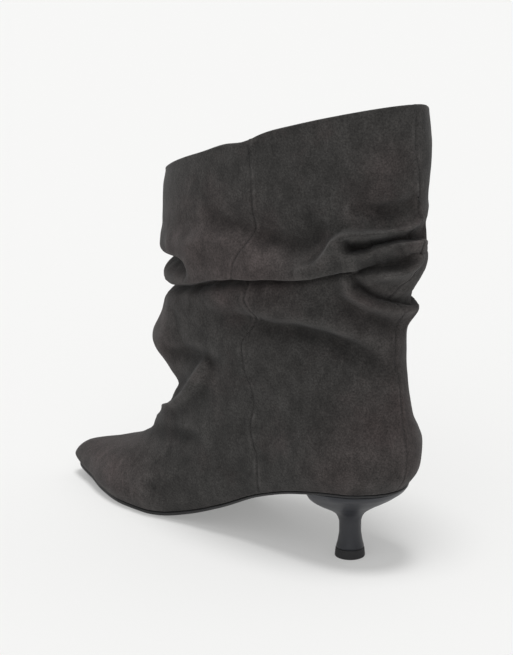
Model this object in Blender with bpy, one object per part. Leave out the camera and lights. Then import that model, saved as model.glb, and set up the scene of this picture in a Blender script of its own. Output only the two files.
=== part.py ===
import bmesh
import bpy
import numpy as np

# Driving dimensions in metres
FOOT_LENGTH = 0.256
BALL_WIDTH = 0.0705
HEEL_SEAT = 0.0485
HEEL_BACK = 0.0365
TOE_SPRING = 0.006
TOE_SWING = 0.012
SOLE_THICK = 0.0024
INSTEP = 0.070
SHAFT_DEPTH = 0.190
SHAFT_WIDTH = 0.090
SHAFT_HEIGHT = 0.271
SHAFT_CENTRE = -0.0485
FOLD = 0.010
WALL = 0.002
GAP = 0.0003
SEAT_THIN = 0.70
INSOLE_THICK = 0.002
INSOLE_CLEAR = 0.0012
INSOLE_TOE = 0.010
LIFT_THICK = 0.0055
LIFT_RADIUS = 0.0088
HEEL_STEM = 0.0125
HEEL_INSET = 0.0010

# How finely each piece is divided
AROUND = 52
SOLE_AROUND = 72
HEEL_AROUND = 32

# Heel rings from the foot up: height as a share of the seat over it, then centre, half length and
# half width as shares of the stem's width, and how square the breast side is
HEEL_RINGS = (
    ("foot", 0.140, 0.00, 0.650, 0.650, 2.0),
    ("flare", 0.230, 0.00, 0.572, 0.572, 2.0),
    ("waist", 0.370, 0.00, 0.510, 0.510, 2.0),
    ("neck", 0.480, 0.00, 0.512, 0.512, 2.0),
    ("throat", 0.545, 0.00, 0.570, 0.570, 2.0),
    ("cup foot", 0.600, 0.02, 0.680, 0.680, 2.0),
    ("cup start", 0.660, 0.06, 0.920, 0.920, 2.1),
    ("cup low", 0.720, 0.08, 1.260, 1.260, 2.3),
    ("cup", 0.790, 0.19, 1.620, 1.620, 2.6),
    ("cup side", 0.870, 0.37, 1.920, 1.920, 3.0),
    ("cup edge", 0.940, 0.59, 2.040, 2.160, 3.4),
    ("seat", 1.000, 0.66, 2.130, 2.260, 3.6),
)

# Top piece: height and reach as shares of its thickness and radius
LIFT_RINGS = ((0.00, 0.955), (0.06, 0.990), (0.16, 1.000), (0.60, 0.965), (1.00, 0.940))

# The collar's wave: turn, reach in turns and drop as a share of the shaft's height
COLLAR_WAVE = ((0.205, 0.040, 0.0037), (0.262, 0.020, 0.0089), (0.590, 0.035, 0.0125))


# Sole outline: share of the foot's length from the heel, inner and outer half width as shares of the ball
OUTLINE = (
    (0.00, 0.000, 0.000),
    (0.04, 0.295, 0.295),
    (0.10, 0.400, 0.400),
    (0.18, 0.435, 0.435),
    (0.28, 0.430, 0.440),
    (0.40, 0.410, 0.440),
    (0.50, 0.420, 0.460),
    (0.60, 0.450, 0.500),
    (0.67, 0.475, 0.525),
    (0.75, 0.445, 0.490),
    (0.85, 0.320, 0.350),
    (0.93, 0.170, 0.185),
    (0.98, 0.085, 0.090),
    (1.00, 0.000, 0.000),
)

# Sole profile: share of the foot's length from the heel, height as a share of the heel seat
PROFILE = (
    (0.00, 1.000),
    (0.10, 0.975),
    (0.20, 0.880),
    (0.32, 0.670),
    (0.45, 0.340),
    (0.55, 0.130),
    (0.63, 0.020),
    (0.68, 0.000),
    (0.76, 0.000),
)

# Foot rings: level up the upper, toe end and heel end as shares of the length, bulge as a share of
# the ball, how far the ring follows the sole, its rise at front, side and back as shares of the
# instep, share of oval
FOOT_RINGS = (
    ("feather", 0.00, 1.000, 0.000, 0.000, 1.00, 0.000, 0.000, 0.000, 0.00),
    ("toe box", 0.06, 1.012, 0.028, 0.065, 1.00, 0.082, 0.150, 0.150, 0.05),
    ("shoulder", 0.11, 0.980, 0.036, 0.085, 1.00, 0.205, 0.330, 0.340, 0.15),
    ("vamp", 0.17, 0.898, 0.032, 0.080, 0.75, 0.355, 0.560, 0.650, 0.45),
    ("throat", 0.22, 0.805, 0.018, 0.060, 0.35, 0.520, 0.880, 1.060, 0.80),
)

# Shaft rings: level, front and back reach from the shaft's centre as shares of its half depth,
# width as a share, height at front, side and back as shares of the shaft's height
SHAFT_RINGS = (
    ("ankle", 0.27, 0.990, 0.900, 0.860, 0.205, 0.320, 0.400),
    ("hollow", 0.34, 0.950, 0.870, 0.890, 0.280, 0.400, 0.460),
    ("belly", 0.44, 0.995, 0.870, 0.930, 0.375, 0.490, 0.530),
    ("under", 0.54, 0.990, 0.900, 0.980, 0.455, 0.560, 0.600),
    ("crease", 0.61, 0.955, 0.985, 0.985, 0.520, 0.606, 0.680),
    ("roll", 0.69, 0.980, 1.015, 1.000, 0.585, 0.665, 0.745),
    ("tube", 0.79, 1.010, 1.020, 1.010, 0.650, 0.745, 0.820),
    ("leg", 0.90, 1.005, 1.035, 1.005, 0.722, 0.830, 0.915),
    ("collar", 1.00, 0.985, 1.010, 0.985, 0.762, 0.903, 1.000),
)

# Folds: depth, then half width above and below as shares of FOLD, sag as a share of the depth, then the
# path as pairs of turn from the front by the inner side, and height as a share of the shaft's height
FOLDS = (
    ("main crease", -0.75, 0.44, 0.62, 0.0,
     ((0.600, 0.672), (0.680, 0.640), (0.770, 0.595), (0.880, 0.548), (0.000, 0.526), (0.081, 0.530),
      (0.131, 0.544), (0.211, 0.582), (0.278, 0.612), (0.339, 0.638), (0.386, 0.661), (0.430, 0.674),
      (0.480, 0.678))),
    ("main roll", 0.50, 1.10, 0.65, 0.65,
     ((0.020, 0.552), (0.081, 0.556), (0.128, 0.567), (0.211, 0.608), (0.278, 0.638), (0.339, 0.658),
      (0.386, 0.678), (0.430, 0.694))),
    ("far roll", 0.50, 1.20, 0.65, 0.60,
     ((0.580, 0.705), (0.680, 0.665), (0.770, 0.622), (0.870, 0.572), (0.960, 0.555))),
    ("front crease", -0.60, 0.38, 0.44, 0.0,
     ((0.860, 0.610), (0.940, 0.594), (0.020, 0.586), (0.081, 0.589), (0.114, 0.598), (0.144, 0.606),
      (0.180, 0.600))),
    ("front shoulder", 0.30, 0.90, 0.55, 0.30,
     ((0.880, 0.632), (0.960, 0.618), (0.040, 0.612), (0.110, 0.622), (0.170, 0.645))),
    ("upper ridge low", 0.35, 0.60, 0.80, 0.20,
     ((0.120, 0.630), (0.175, 0.652), (0.211, 0.681), (0.267, 0.690), (0.310, 0.682), (0.345, 0.680))),
    ("upper ridge rise", 0.75, 0.45, 0.50, 0.0,
     ((0.325, 0.680), (0.345, 0.686), (0.358, 0.708), (0.368, 0.732), (0.389, 0.750), (0.433, 0.753),
      (0.470, 0.766), (0.510, 0.790))),
    ("upper trough", -0.45, 0.90, 0.65, 0.0,
     ((0.180, 0.735), (0.250, 0.730), (0.315, 0.714), (0.345, 0.722), (0.383, 0.772), (0.439, 0.788),
      (0.500, 0.815))),
    ("pocket one", -0.95, 0.62, 0.32, 0.0,
     ((0.376, 0.722), (0.388, 0.712), (0.402, 0.707), (0.418, 0.706), (0.436, 0.711), (0.455, 0.720),
      (0.485, 0.726), (0.520, 0.726), (0.555, 0.718))),
    ("heel roll", 0.60, 0.36, 0.60, -0.30,
     ((0.370, 0.704), (0.400, 0.694), (0.425, 0.697), (0.455, 0.708), (0.500, 0.714), (0.565, 0.706))),
    ("pocket two", -0.90, 0.60, 0.32, 0.0,
     ((0.392, 0.656), (0.420, 0.662), (0.445, 0.665), (0.475, 0.664), (0.505, 0.665), (0.535, 0.675))),
    ("pocket rim", 0.50, 0.34, 0.50, -0.30,
     ((0.385, 0.640), (0.410, 0.650), (0.440, 0.654), (0.475, 0.652), (0.503, 0.652), (0.530, 0.660),
      (0.545, 0.682), (0.550, 0.710))),
    ("back column", 0.40, 0.90, 0.90, 0.0,
     ((0.560, 0.740), (0.548, 0.700), (0.545, 0.665), (0.550, 0.625))),
    ("pocket three", -0.70, 0.60, 0.34, 0.0,
     ((0.390, 0.652), (0.402, 0.632), (0.416, 0.616), (0.434, 0.604), (0.464, 0.591), (0.506, 0.579),
      (0.560, 0.571))),
    ("back ridge", 0.72, 0.38, 0.60, -0.20,
     ((0.378, 0.656), (0.390, 0.634), (0.406, 0.612), (0.430, 0.594), (0.464, 0.579), (0.506, 0.567),
      (0.560, 0.556), (0.640, 0.566), (0.700, 0.590))),
    ("back trough", -0.35, 0.55, 0.80, 0.0,
     ((0.375, 0.626), (0.400, 0.605), (0.420, 0.588), (0.445, 0.573), (0.480, 0.556), (0.530, 0.545))),
    ("slant ridge", 0.30, 0.80, 0.80, 0.0,
     ((0.250, 0.560), (0.310, 0.556), (0.370, 0.548), (0.420, 0.528), (0.480, 0.490))),
    ("long trough", -0.50, 0.70, 0.95, 0.0,
     ((0.190, 0.508), (0.225, 0.512), (0.265, 0.522), (0.300, 0.514), (0.340, 0.517), (0.385, 0.507),
      (0.420, 0.492), (0.460, 0.456), (0.490, 0.430))),
    ("far trough", -0.40, 0.80, 1.20, 0.0,
     ((0.600, 0.530), (0.680, 0.560), (0.760, 0.525), (0.840, 0.500))),
    ("ankle trough", -0.35, 0.60, 0.80, 0.0,
     ((0.100, 0.384), (0.130, 0.388), (0.165, 0.398), (0.195, 0.405), (0.240, 0.408))),
    ("instep ridge", 0.50, 0.55, 0.70, 0.10,
     ((0.205, 0.400), (0.195, 0.382), (0.182, 0.350), (0.153, 0.306), (0.110, 0.262), (0.072, 0.232),
      (0.020, 0.214))),
    ("instep facet", -0.75, 0.70, 0.55, 0.0,
     ((0.900, 0.326), (0.980, 0.308), (0.040, 0.305), (0.085, 0.311), (0.130, 0.334), (0.160, 0.360))),
    ("belly fold", 1.00, 1.25, 1.10, 0.10,
     ((0.830, 0.480), (0.930, 0.415), (0.000, 0.396), (0.075, 0.402), (0.150, 0.440))),
    ("vamp fold", 0.70, 1.30, 0.62, 0.0,
     ((0.880, 0.262), (0.940, 0.232), (0.000, 0.216), (0.050, 0.214), (0.090, 0.236), (0.125, 0.272))),
)


def smooth_curve(xs, ys, x):
    """Cubic through the rows that never runs past them."""
    xs = np.asarray(xs, float)
    ys = np.asarray(ys, float)
    step = np.diff(xs)
    slope = np.diff(ys) / step
    tangent = np.zeros_like(ys)
    same = slope[:-1] * slope[1:] > 0
    one = 2 * step[1:] + step[:-1]
    two = step[1:] + 2 * step[:-1]
    first = slope[:-1][same]
    second = slope[1:][same]
    inner = np.zeros(len(same))
    inner[same] = (one + two)[same] / (one[same] / first + two[same] / second)
    tangent[1:-1] = inner
    tangent[0] = slope[0]
    tangent[-1] = slope[-1]
    x = np.clip(x, xs[0], xs[-1])
    i = np.clip(np.searchsorted(xs, x, side="right") - 1, 0, len(step) - 1)
    t = (x - xs[i]) / step[i]
    ends = ys[i] * (2 * t**3 - 3 * t**2 + 1) + ys[i + 1] * (3 * t**2 - 2 * t**3)
    return ends + step[i] * (tangent[i] * (t**3 - 2 * t**2 + t) + tangent[i + 1] * (t**3 - t**2))


def side_width(angle, column):
    """Outline's half width over the sine of its angle, smooth through both ends."""
    share = np.array([row[0] for row in OUTLINE[1:-1]])
    width = np.array([row[column] for row in OUTLINE[1:-1]]) * BALL_WIDTH
    at = np.arccos(2 * share - 1)
    ratio = width / np.sin(at)
    order = np.argsort(at)
    at = at[order]
    ratio = ratio[order]
    at = np.concatenate([[-at[0]], at, [2 * np.pi - at[-1]]])
    ratio = np.concatenate([[ratio[0]], ratio, [ratio[-1]]])
    return smooth_curve(at, ratio, angle)


def sole_height(share):
    """Height of the sole's top edge over the floor."""
    at = np.array([row[0] for row in PROFILE])
    height = np.array([row[1] for row in PROFILE]) * (HEEL_SEAT - SOLE_THICK)
    rise = smooth_curve(at, height, np.minimum(share, at[-1]))
    toe = np.clip((share - at[-1]) / (1 - at[-1]), 0, 1)
    return SOLE_THICK + rise + TOE_SPRING * toe**1.8


def swing(share):
    """Inward curve of the forefoot."""
    return -TOE_SWING * np.clip((share - 0.45) / 0.55, 0, 1) ** 1.6


def three_heights(front, side, back, angle):
    """Height around a ring from its front, side and back."""
    return ((front + back) / 4 + side / 2 + (front - back) / 2 * np.cos(angle)
            + ((front + back) / 4 - side / 2) * np.cos(2 * angle))


def foot_ring(row, angle):
    """Points of one ring of the foot."""
    name, level, toe, heel, bulge, follow, front, side, back, oval = row
    front_x = HEEL_BACK - toe * FOOT_LENGTH
    back_x = HEEL_BACK + heel * FOOT_LENGTH
    x = (front_x + back_x) / 2 - (back_x - front_x) / 2 * np.cos(angle)
    over = np.clip((HEEL_BACK - x) / FOOT_LENGTH, 0, 1)
    outline_angle = np.arccos(2 * over - 1)
    sole = np.where(np.sin(angle) >= 0, side_width(outline_angle, 1), side_width(outline_angle, 2))
    half = (sole + bulge * BALL_WIDTH) * (1 - oval) + 0.42 * SHAFT_WIDTH * oval
    y = -np.sin(angle) * half + swing(over) * (1 - oval)
    z = sole_height(over) * follow + three_heights(front, side, back, angle) * INSTEP
    return np.stack([x, y, z], 1)


def shaft_ring(row, angle):
    """Points of one ring of the shaft."""
    name, level, ahead, behind, width, front, side, back = row
    front_x = SHAFT_CENTRE - ahead * SHAFT_DEPTH / 2
    back_x = SHAFT_CENTRE + behind * SHAFT_DEPTH / 2
    x = (front_x + back_x) / 2 - (back_x - front_x) / 2 * np.cos(angle)
    y = -np.sin(angle) * width * SHAFT_WIDTH / 2
    z = three_heights(front, side, back, angle) * SHAFT_HEIGHT
    return np.stack([x, y, z], 1)


def base_surface(angle, levels):
    """Smooth upper before its folds, as a grid of levels by angles."""
    rings = [foot_ring(row, angle) for row in FOOT_RINGS]
    rings += [shaft_ring(row, angle) for row in SHAFT_RINGS]
    known = np.array([row[1] for row in FOOT_RINGS + SHAFT_RINGS])
    rings = np.stack(rings)
    step = np.diff(known)[:, None, None]
    slope = np.diff(rings, axis=0) / step
    tangent = np.empty_like(rings)
    tangent[0] = slope[0]
    tangent[-1] = slope[-1]
    tangent[1:-1] = (slope[:-1] * step[1:] + slope[1:] * step[:-1]) / (step[1:] + step[:-1])
    i = np.clip(np.searchsorted(known, levels, side="right") - 1, 0, len(known) - 2)
    t = ((levels - known[i]) / (known[i + 1] - known[i]))[:, None, None]
    ends = rings[i] * (2 * t**3 - 3 * t**2 + 1) + rings[i + 1] * (3 * t**2 - 2 * t**3)
    return ends + step[i] * (tangent[i] * (t**3 - 2 * t**2 + t) + tangent[i + 1] * (t**3 - t**2))


def surface_normals(grid):
    """Outward unit normals of a grid that closes around."""
    around = np.roll(grid, -1, 1) - np.roll(grid, 1, 1)
    up = np.gradient(grid, axis=0)
    normal = np.cross(around, up)
    return normal / (np.linalg.norm(normal, axis=2, keepdims=True) + 1e-12)


def path_points(path, grid, count):
    """Points on the smooth upper along a fold's path of turns and heights."""
    turns = np.array([p[0] for p in path])
    wrap = (np.diff(turns) < -0.5) * 1.0 - (np.diff(turns) > 0.5) * 1.0
    turns = turns + np.concatenate([[0], np.cumsum(wrap)])
    heights = np.array([p[1] for p in path]) * SHAFT_HEIGHT
    knots = np.linspace(0, 1, len(path))
    along = np.linspace(0, 1, count)
    turn = smooth_curve(knots, turns, along) % 1
    height = smooth_curve(knots, heights, along)
    rows, columns = grid.shape[:2]
    at = turn * columns
    left = np.floor(at).astype(int) % columns
    right = (left + 1) % columns
    mix = (at - np.floor(at))[:, None]
    points = np.empty((count, 3))
    for k in range(count):
        column = grid[:, left[k]] * (1 - mix[k]) + grid[:, right[k]] * mix[k]
        points[k] = [np.interp(height[k], column[:, 2], column[:, axis]) for axis in range(3)]
    return points


def apply_folds(grid, folds, strength=1.0):
    """Push the smooth upper out and down along each fold's path."""
    normal = surface_normals(grid)
    out = np.zeros(grid.shape[:2])
    drop = np.zeros(grid.shape[:2])
    flat = grid.reshape(-1, 3)
    for name, depth, above, below, sag, path in folds:
        line = path_points(path, grid, 12 * len(path))
        run = np.gradient(line, axis=0)
        gap = np.linalg.norm(flat[:, None, :] - line[None, :, :], axis=2)
        near = gap.argmin(1)
        distance = gap[np.arange(len(flat)), near]
        rise = np.cross(normal.reshape(-1, 3), run[near])
        side = np.sum((flat - line[near]) * rise, axis=1)
        side = side * np.sign(rise[:, 2] + 1e-9)
        width = np.where(side > 0, above, below) * FOLD
        share = near / (len(line) - 1)
        taper = np.sin(np.pi * share) ** 0.8
        shape = (np.exp(-(distance / width) ** 2) * taper).reshape(grid.shape[:2])
        out += depth * FOLD * strength * shape
        drop += abs(depth) * sag * FOLD * strength * shape
    moved = grid + normal * out[..., None]
    moved[..., 2] -= drop
    return moved


def row_levels():
    """Levels of the upper's rows, close together where it folds."""
    foot = np.linspace(0, 0.27, 11)[:-1]
    ankle = np.linspace(0.27, 0.56, 11)[:-1]
    slouch = np.linspace(0.56, 0.81, 20)[:-1]
    return np.concatenate([foot, ankle, slouch, np.linspace(0.81, 1, 6)])


def smoothed(grid, passes):
    """Even out a closed grid without moving its two rims."""
    for _ in range(passes):
        around = (np.roll(grid, 1, 1) + np.roll(grid, -1, 1)) / 2
        middle = (grid[:-2] + grid[2:] + 2 * around[1:-1]) / 4
        grid = grid.copy()
        grid[1:-1] = (grid[1:-1] + middle) / 2
    return grid


def upper_grids(around, levels):
    """Outer and inner surface of the upper."""
    angle = np.arange(around) * 2 * np.pi / around
    outer = apply_folds(base_surface(angle, levels), FOLDS, 0.9)
    outer = smoothed(outer, 1)
    turns = np.arange(around) / around
    near = np.clip((levels - 0.86) / 0.14, 0, 1)[:, None] ** 2
    for turn, reach, drop in COLLAR_WAVE:
        outer[..., 2] -= drop * SHAFT_HEIGHT * near * np.exp(-((turns - turn) / reach) ** 2)[None, :]
    outer[0] = base_surface(angle, levels[:1])[0]
    outer[0, :, 2] += GAP
    inner = outer - surface_normals(smoothed(outer, 3)) * WALL
    inner[0, :, 2] = outer[0, :, 2]
    return outer, inner


def ring_faces(lower, upper, count):
    """Quads between two rings of the same count."""
    following = [(i + 1) % count for i in range(count)]
    return [(lower + i, lower + j, upper + j, upper + i) for i, j in enumerate(following)]


def ladder_faces(start, count):
    """Faces across a ring whose two sides share their stations."""
    faces = [(start, start + 1, start + count - 1)]
    for i in range(1, count // 2 - 1):
        faces.append((start + i, start + i + 1, start + count - i - 1, start + count - i))
    half = count // 2
    faces.append((start + half - 1, start + half, start + half + 1))
    return faces


def make_node(name, points, faces, material):
    """One closed body as an object of its own, its faces outwards."""
    mesh = bpy.data.meshes.new(name)
    mesh.from_pydata([tuple(p) for p in points], [], faces)
    work = bmesh.new()
    work.from_mesh(mesh)
    bmesh.ops.recalc_face_normals(work, faces=work.faces)
    if work.calc_volume(signed=True) < 0:
        bmesh.ops.reverse_faces(work, faces=work.faces)
    work.to_mesh(mesh)
    work.free()
    for face in mesh.polygons:
        face.use_smooth = True
    mesh.materials.append(material)
    node = bpy.data.objects.new(name, mesh)
    bpy.context.scene.collection.objects.link(node)
    return node


def make_material(name, colour, roughness, sheen=0.0):
    """A plain material."""
    material = bpy.data.materials.new(name)
    material.use_nodes = True
    shader = material.node_tree.nodes["Principled BSDF"]
    shader.inputs["Base Color"].default_value = colour + (1.0,)
    shader.inputs["Roughness"].default_value = roughness
    shader.inputs["Sheen Weight"].default_value = sheen
    material.diffuse_color = colour + (1.0,)
    return material


def make_upper(material):
    """Foot and slouched shaft in one hollow body, open at the collar and underneath."""
    outer, inner = upper_grids(AROUND, row_levels())
    rows = len(outer)
    points = np.concatenate([outer.reshape(-1, 3), inner.reshape(-1, 3)])
    faces = []
    for row in range(rows - 1):
        faces += ring_faces(row * AROUND, (row + 1) * AROUND, AROUND)
        start = (rows + row) * AROUND
        faces += [face[::-1] for face in ring_faces(start, start + AROUND, AROUND)]
    top = (rows - 1) * AROUND
    faces += ring_faces(top, top + rows * AROUND, AROUND)
    faces += [face[::-1] for face in ring_faces(0, rows * AROUND, AROUND)]
    return make_node("upper", points, faces, material)


def sole_ring(inset, heel_inset, toe_inset, count):
    """Outline of a sole piece from above, set in by the named amounts."""
    angle = np.arange(count) * 2 * np.pi / count
    front_x = HEEL_BACK - FOOT_LENGTH + toe_inset
    back_x = HEEL_BACK - heel_inset
    x = (front_x + back_x) / 2 - (back_x - front_x) / 2 * np.cos(angle)
    over = np.clip((HEEL_BACK - x) / FOOT_LENGTH, 0, 1)
    spread = (1 + np.cos(angle)) / 2
    spread_angle = np.arccos(2 * spread - 1)
    half = np.where(np.sin(angle) >= 0, side_width(spread_angle, 1), side_width(spread_angle, 2))
    half = np.maximum(half - inset, 0.3 * half)
    return x, -np.sin(angle) * half + swing(over), over


def make_outsole(material):
    """Thin full sole with its arch, toe spring and flat ball."""
    x, y, over = sole_ring(0.0, 0.0, 0.0, SOLE_AROUND)
    top = sole_height(over)
    thick = SOLE_THICK * (SEAT_THIN + (1 - SEAT_THIN) * np.clip((over - 0.30) / 0.25, 0, 1))
    upper_ring = np.stack([x, y, top], 1)
    lower_ring = np.stack([x, y, top - thick], 1)
    points = np.concatenate([lower_ring, upper_ring])
    faces = ring_faces(0, SOLE_AROUND, SOLE_AROUND)
    faces += ladder_faces(0, SOLE_AROUND)
    faces += [face[::-1] for face in ladder_faces(SOLE_AROUND, SOLE_AROUND)]
    return make_node("outsole", points, faces, material)


def make_insole(material):
    """Board lying on the outsole inside the upper."""
    inset = WALL + 2 * GAP + INSOLE_CLEAR
    x, y, over = sole_ring(inset, inset, INSOLE_TOE, SOLE_AROUND)
    low = sole_height(over) + GAP
    lower_ring = np.stack([x, y, low], 1)
    upper_ring = np.stack([x, y, low + INSOLE_THICK], 1)
    points = np.concatenate([lower_ring, upper_ring])
    faces = ring_faces(0, SOLE_AROUND, SOLE_AROUND)
    faces += ladder_faces(0, SOLE_AROUND)
    faces += [face[::-1] for face in ladder_faces(SOLE_AROUND, SOLE_AROUND)]
    return make_node("insole", points, faces, material)


def heel_ring(row, count):
    """Points of one ring of the heel, squarer towards its breast."""
    name, height, centre, length, width, square = row
    angle = np.arange(count) * 2 * np.pi / count
    power = np.where(np.cos(angle) > 0, 2.0 / square, 1.0)
    x = centre * HEEL_STEM - length * HEEL_STEM * np.sign(np.cos(angle)) * np.abs(np.cos(angle)) ** power
    y = -width * HEEL_STEM * np.sign(np.sin(angle)) * np.abs(np.sin(angle)) ** power
    over = np.clip((HEEL_BACK - x) / FOOT_LENGTH, 0, 1)
    seat = side_width(np.arccos(2 * over - 1), 1) * np.sqrt(np.clip(1 - (2 * over - 1) ** 2, 0, 1))
    y = np.sign(y) * np.minimum(np.abs(y), np.maximum(seat - HEEL_INSET, 0))
    return np.stack([x, y, height * (sole_height(over) - SOLE_THICK * SEAT_THIN - GAP)], 1)


def make_heel(material):
    """Cup under the seat, waisted stem and flared foot."""
    rings = [heel_ring(row, HEEL_AROUND) for row in HEEL_RINGS]
    rings[0][:, 2] = LIFT_THICK + GAP
    points = np.concatenate(rings)
    faces = []
    for k in range(len(rings) - 1):
        faces += ring_faces(k * HEEL_AROUND, (k + 1) * HEEL_AROUND, HEEL_AROUND)
    last = (len(rings) - 1) * HEEL_AROUND
    faces += ladder_faces(0, HEEL_AROUND) + [face[::-1] for face in ladder_faces(last, HEEL_AROUND)]
    return make_node("heel", points, faces, material)


def make_top_piece(material):
    """Rubber lift with its flat tread on the floor."""
    rings = []
    for height, reach in LIFT_RINGS:
        angle = np.arange(HEEL_AROUND) * 2 * np.pi / HEEL_AROUND
        radius = reach * LIFT_RADIUS
        rings.append(np.stack([-radius * np.cos(angle), -radius * np.sin(angle),
                               np.full(HEEL_AROUND, height * LIFT_THICK)], 1))
    points = np.concatenate(rings)
    faces = []
    for k in range(len(rings) - 1):
        faces += ring_faces(k * HEEL_AROUND, (k + 1) * HEEL_AROUND, HEEL_AROUND)
    last = (len(rings) - 1) * HEEL_AROUND
    faces += ladder_faces(0, HEEL_AROUND) + [face[::-1] for face in ladder_faces(last, HEEL_AROUND)]
    return make_node("top_piece", points, faces, material)


def build():
    """Clear the scene and make every node."""
    for item in list(bpy.data.objects):
        bpy.data.objects.remove(item, do_unlink=True)
    make_upper(make_material("upper suede", (0.045, 0.041, 0.039), 0.95, 0.3))
    make_outsole(make_material("outsole leather", (0.020, 0.019, 0.020), 0.55))
    make_insole(make_material("insole leather", (0.090, 0.075, 0.062), 0.70))
    make_heel(make_material("heel lacquer", (0.016, 0.017, 0.021), 0.25))
    make_top_piece(make_material("top piece rubber", (0.010, 0.010, 0.011), 0.75))


build()
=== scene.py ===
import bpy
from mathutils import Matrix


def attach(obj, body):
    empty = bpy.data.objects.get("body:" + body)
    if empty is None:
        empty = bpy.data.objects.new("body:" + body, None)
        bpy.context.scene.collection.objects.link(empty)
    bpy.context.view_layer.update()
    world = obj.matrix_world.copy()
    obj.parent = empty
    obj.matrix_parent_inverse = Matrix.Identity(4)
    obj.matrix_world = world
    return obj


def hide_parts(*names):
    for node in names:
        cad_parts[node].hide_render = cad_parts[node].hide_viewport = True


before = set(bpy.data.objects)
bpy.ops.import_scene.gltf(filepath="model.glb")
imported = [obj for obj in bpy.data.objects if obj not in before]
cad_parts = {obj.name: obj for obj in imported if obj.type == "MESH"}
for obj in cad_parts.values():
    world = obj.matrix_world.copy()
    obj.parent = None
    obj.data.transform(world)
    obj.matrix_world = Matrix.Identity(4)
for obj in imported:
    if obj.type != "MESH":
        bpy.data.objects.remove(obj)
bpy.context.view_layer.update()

import math
import bmesh
import bpy
import numpy as np
from bpy.props import FloatProperty, FloatVectorProperty, IntProperty, PointerProperty
from mathutils import Vector

bl_info = {
    "name": "Slouch Boot",
    "version": (1, 0, 0),
    "blender": (4, 5, 0),
    "location": "View3D > Sidebar > Boot",
    "description": "Builds a suede slouch boot with its seams, lining, sole and heel",
    "category": "Add Mesh",
}

# Outline of the sole from above: share of the foot's length from the heel,
# inner and outer half width as shares of the ball's width
OUTLINE = (
    (0.00, 0.000, 0.000),
    (0.04, 0.295, 0.295),
    (0.10, 0.400, 0.400),
    (0.18, 0.435, 0.435),
    (0.28, 0.430, 0.440),
    (0.40, 0.410, 0.440),
    (0.50, 0.420, 0.460),
    (0.60, 0.450, 0.500),
    (0.67, 0.475, 0.525),
    (0.75, 0.445, 0.490),
    (0.85, 0.320, 0.350),
    (0.93, 0.170, 0.185),
    (0.98, 0.085, 0.090),
    (1.00, 0.000, 0.000),
)

# Profile of the sole: share of the foot's length from the heel, height as a share of the heel seat
PROFILE = (
    (0.00, 1.000),
    (0.10, 0.975),
    (0.20, 0.880),
    (0.32, 0.670),
    (0.45, 0.340),
    (0.55, 0.130),
    (0.63, 0.020),
    (0.68, 0.000),
    (0.76, 0.000),
)

# Foot rings: level, toe and heel end as shares of the length, bulge as a share of the ball,
# how far it follows the sole, rise at front, side and back as shares of the instep, share of oval
FOOT_RINGS = (
    ("feather", 0.00, 1.000, 0.000, 0.000, 1.00, 0.000, 0.000, 0.000, 0.00),
    ("toe box", 0.06, 1.012, 0.028, 0.065, 1.00, 0.082, 0.150, 0.150, 0.05),
    ("shoulder", 0.11, 0.980, 0.036, 0.085, 1.00, 0.205, 0.330, 0.340, 0.15),
    ("vamp", 0.17, 0.898, 0.032, 0.080, 0.75, 0.355, 0.560, 0.650, 0.45),
    ("throat", 0.22, 0.805, 0.018, 0.060, 0.35, 0.520, 0.880, 1.060, 0.80),
)

# Shaft rings: level, reach ahead and behind as shares of the half depth, width as a share,
# height at front, side and back as shares of the shaft's height
SHAFT_RINGS = (
    ("ankle", 0.27, 0.990, 0.900, 0.860, 0.205, 0.320, 0.400),
    ("hollow", 0.34, 0.958, 0.870, 0.890, 0.280, 0.400, 0.460),
    ("belly", 0.44, 0.995, 0.870, 0.930, 0.375, 0.490, 0.530),
    ("under", 0.54, 0.990, 0.905, 0.980, 0.455, 0.560, 0.600),
    ("crease", 0.61, 0.955, 1.004, 0.985, 0.520, 0.606, 0.680),
    ("roll", 0.69, 0.980, 1.003, 1.000, 0.585, 0.665, 0.745),
    ("tube", 0.79, 1.010, 1.020, 1.010, 0.650, 0.745, 0.820),
    ("leg", 0.90, 1.005, 1.035, 1.005, 0.722, 0.830, 0.915),
    ("collar", 1.00, 0.985, 1.010, 0.985, 0.762, 0.903, 1.000),
)

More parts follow.
